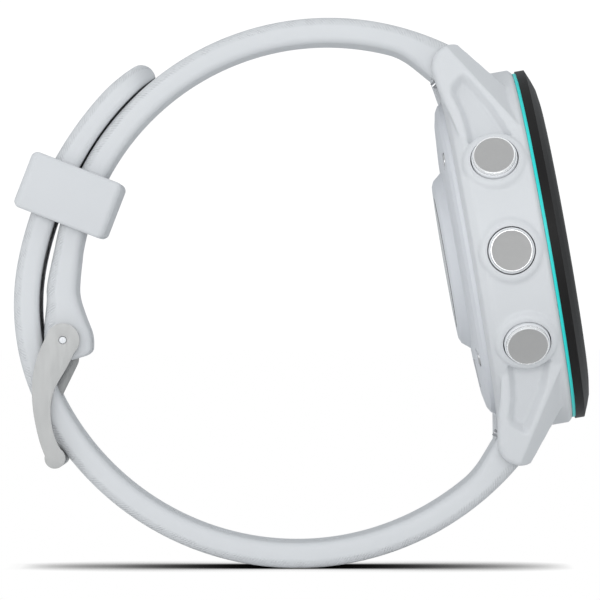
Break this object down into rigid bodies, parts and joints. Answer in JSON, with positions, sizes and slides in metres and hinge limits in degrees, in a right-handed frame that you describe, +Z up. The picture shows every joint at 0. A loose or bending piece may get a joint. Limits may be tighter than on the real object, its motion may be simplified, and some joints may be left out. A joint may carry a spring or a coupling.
{
  "type": "gps running watch",
  "caption": "Round running watch with side buttons, tilted display and back sensor, on a silicone strap closed by a pin buckle and keeper.",
  "frame": {"origin": "centre of the wrist opening inside the closed strap, midway between the strap's two sides", "axes": "+X out of the wrist towards the display, +Y along the wrist axis towards the 3 o'clock side, +Z up towards the 12 o'clock side; the display normal is 10 degrees above +X"},
  "size_m": [0.067, 0.043, 0.0638],
  "materials": {
    "case_polymer": "fine matt moulded polymer",
    "accent_polymer": "matt turquoise moulded ring",
    "bezel_polymer": "satin black moulded bezel",
    "glass": "polished chemically strengthened glass",
    "display": "dark display panel",
    "adhesive": "die-cut foam adhesive",
    "inner_plastic": "black glass-filled carrier",
    "circuit_board": "green solder mask",
    "shield_tin": "tin-plated steel",
    "cell": "foil pouch",
    "motor_steel": "brushed steel",
    "brass_disc": "brass disc",
    "cover_polymer": "fine matt moulded polymer",
    "seal_rubber": "black silicone",
    "screw_steel": "stainless steel",
    "sensor_glass": "dark polished optical window",
    "sensor_chip": "green emitter",
    "diode": "dark photodiode",
    "gold_contact": "gold plate",
    "socket_plastic": "black polymer",
    "button_steel": "satin face with a polished bevel",
    "spring_steel": "spring steel",
    "silicone": "soft matt silicone with a fine hatched outer face",
    "buckle_steel": "satin steel with polished bevels",
    "bar_steel": "stainless steel"
  },
  "bodies": {
    "case": {"case_housing": "case_polymer", "accent_ring": "accent_polymer", "bezel": "bezel_polymer", "display_lens": "glass", "lens_gasket": "adhesive", "display_module": "display", "chassis": "inner_plastic", "main_board": "circuit_board", "shield_cans": "shield_tin", "battery": "cell", "vibration_motor": "motor_steel", "buzzer": "brass_disc", "antenna": "shield_tin", "side_switches": "motor_steel", "display_flex": "circuit_board", "back_cover": "cover_polymer", "back_gasket": "seal_rubber", "back_screws": "screw_steel", "sensor_lens": "sensor_glass", "sensor_board": "circuit_board", "sensor_leds": "sensor_chip", "photodiodes": "diode", "sensor_baffle": "inner_plastic", "charge_contacts": "gold_contact", "charge_socket": "socket_plastic", "vent_membrane": "seal_rubber", "light_button_seal": "seal_rubber", "up_button_seal": "seal_rubber", "down_button_seal": "seal_rubber", "start_button_seal": "seal_rubber", "back_button_seal": "seal_rubber", "light_button_spring": "spring_steel", "up_button_spring": "spring_steel", "down_button_spring": "spring_steel", "start_button_spring": "spring_steel", "back_button_spring": "spring_steel"},
    "light_button": {"light_button_cap": "button_steel", "light_button_clip": "spring_steel"},
    "up_button": {"up_button_cap": "button_steel", "up_button_clip": "spring_steel"},
    "down_button": {"down_button_cap": "button_steel", "down_button_clip": "spring_steel"},
    "start_button": {"start_button_cap": "button_steel", "start_button_clip": "spring_steel"},
    "back_button": {"back_button_cap": "button_steel", "back_button_clip": "spring_steel"},
    "buckle_strap": {"buckle_strap": "silicone", "buckle_pin": "buckle_steel", "upper_bar_tube": "bar_steel", "upper_bar_tip": "bar_steel", "upper_bar_spring": "spring_steel"},
    "hole_strap": {"hole_strap": "silicone", "lower_bar_tube": "bar_steel", "lower_bar_tip": "bar_steel", "lower_bar_spring": "spring_steel"},
    "keeper": {"strap_keeper": "silicone"},
    "buckle_frame": {"buckle_frame": "buckle_steel"},
    "buckle_tongue": {"buckle_tongue": "buckle_steel"},
    "upper_lever": {"upper_bar_lever": "bar_steel"},
    "lower_lever": {"lower_bar_lever": "bar_steel"}
  },
  "joints": [
    {"name": "light_button_press", "type": "slide", "parent": "case", "child": "light_button", "axis": [0.0879, 0.8625, -0.4983], "range_m": [0, 0.0006], "stiffness_N_per_m": 3000, "springref_m": -0.0003, "deforming": ["light_button_spring"]},
    {"name": "up_button_press", "type": "slide", "parent": "case", "child": "up_button", "axis": [0, 1, 0], "range_m": [0, 0.0006], "stiffness_N_per_m": 3000, "springref_m": -0.0003, "deforming": ["up_button_spring"]},
    {"name": "down_button_press", "type": "slide", "parent": "case", "child": "down_button", "axis": [-0.0879, 0.8625, 0.4983], "range_m": [0, 0.0006], "stiffness_N_per_m": 3000, "springref_m": -0.0003, "deforming": ["down_button_spring"]},
    {"name": "start_button_press", "type": "slide", "parent": "case", "child": "start_button", "axis": [0.0879, -0.8625, -0.4983], "range_m": [0, 0.0006], "stiffness_N_per_m": 3000, "springref_m": -0.0003, "deforming": ["start_button_spring"]},
    {"name": "back_button_press", "type": "slide", "parent": "case", "child": "back_button", "axis": [-0.0879, -0.8625, 0.4983], "range_m": [0, 0.0006], "stiffness_N_per_m": 3000, "springref_m": -0.0003, "deforming": ["back_button_spring"]},
    {"name": "buckle_strap_open", "type": "hinge", "parent": "case", "child": "buckle_strap", "pos_m": [0.02157, 0, 0.02583], "axis": [0, 1, 0], "range_deg": [0, 45]},
    {"name": "hole_strap_open", "type": "hinge", "parent": "case", "child": "hole_strap", "pos_m": [0.02921, 0, -0.01751], "axis": [0, 1, 0], "range_deg": [0, 13.5], "deforming": ["hole_strap"]},
    {"name": "keeper_slide", "type": "hinge", "parent": "buckle_strap", "child": "keeper", "pos_m": [0.0073, 0, -0.0005], "axis": [0, 1, 0], "range_deg": [-1.5, 40]},
    {"name": "buckle_frame_swing", "type": "hinge", "parent": "buckle_strap", "child": "buckle_frame", "pos_m": [-0.0235, 0, -0.00565], "axis": [0, 1, 0], "range_deg": [0, 63]},
    {"name": "buckle_tongue_swing", "type": "hinge", "parent": "buckle_strap", "child": "buckle_tongue", "pos_m": [-0.0235, 0, -0.00565], "axis": [0, 1, 0], "range_deg": [0, 63]},
    {"name": "upper_lever_slide", "type": "slide", "parent": "buckle_strap", "child": "upper_lever", "axis": [0, 1, 0], "range_m": [0, 0.0013], "stiffness_N_per_m": 1200, "springref_m": -0.001, "deforming": ["upper_bar_spring"]},
    {"name": "lower_lever_slide", "type": "slide", "parent": "hole_strap", "child": "lower_lever", "axis": [0, 1, 0], "range_m": [0, 0.0013], "stiffness_N_per_m": 1200, "springref_m": -0.001, "deforming": ["lower_bar_spring"]}
  ],
  "couplings": [
    {"joint": "hole_strap_open", "follows": "buckle_strap_open", "ratio": 0.3},
    {"joint": "buckle_frame_swing", "follows": "buckle_strap_open", "ratio": 1.4},
    {"joint": "buckle_tongue_swing", "follows": "buckle_strap_open", "ratio": 1.4}
  ]
}
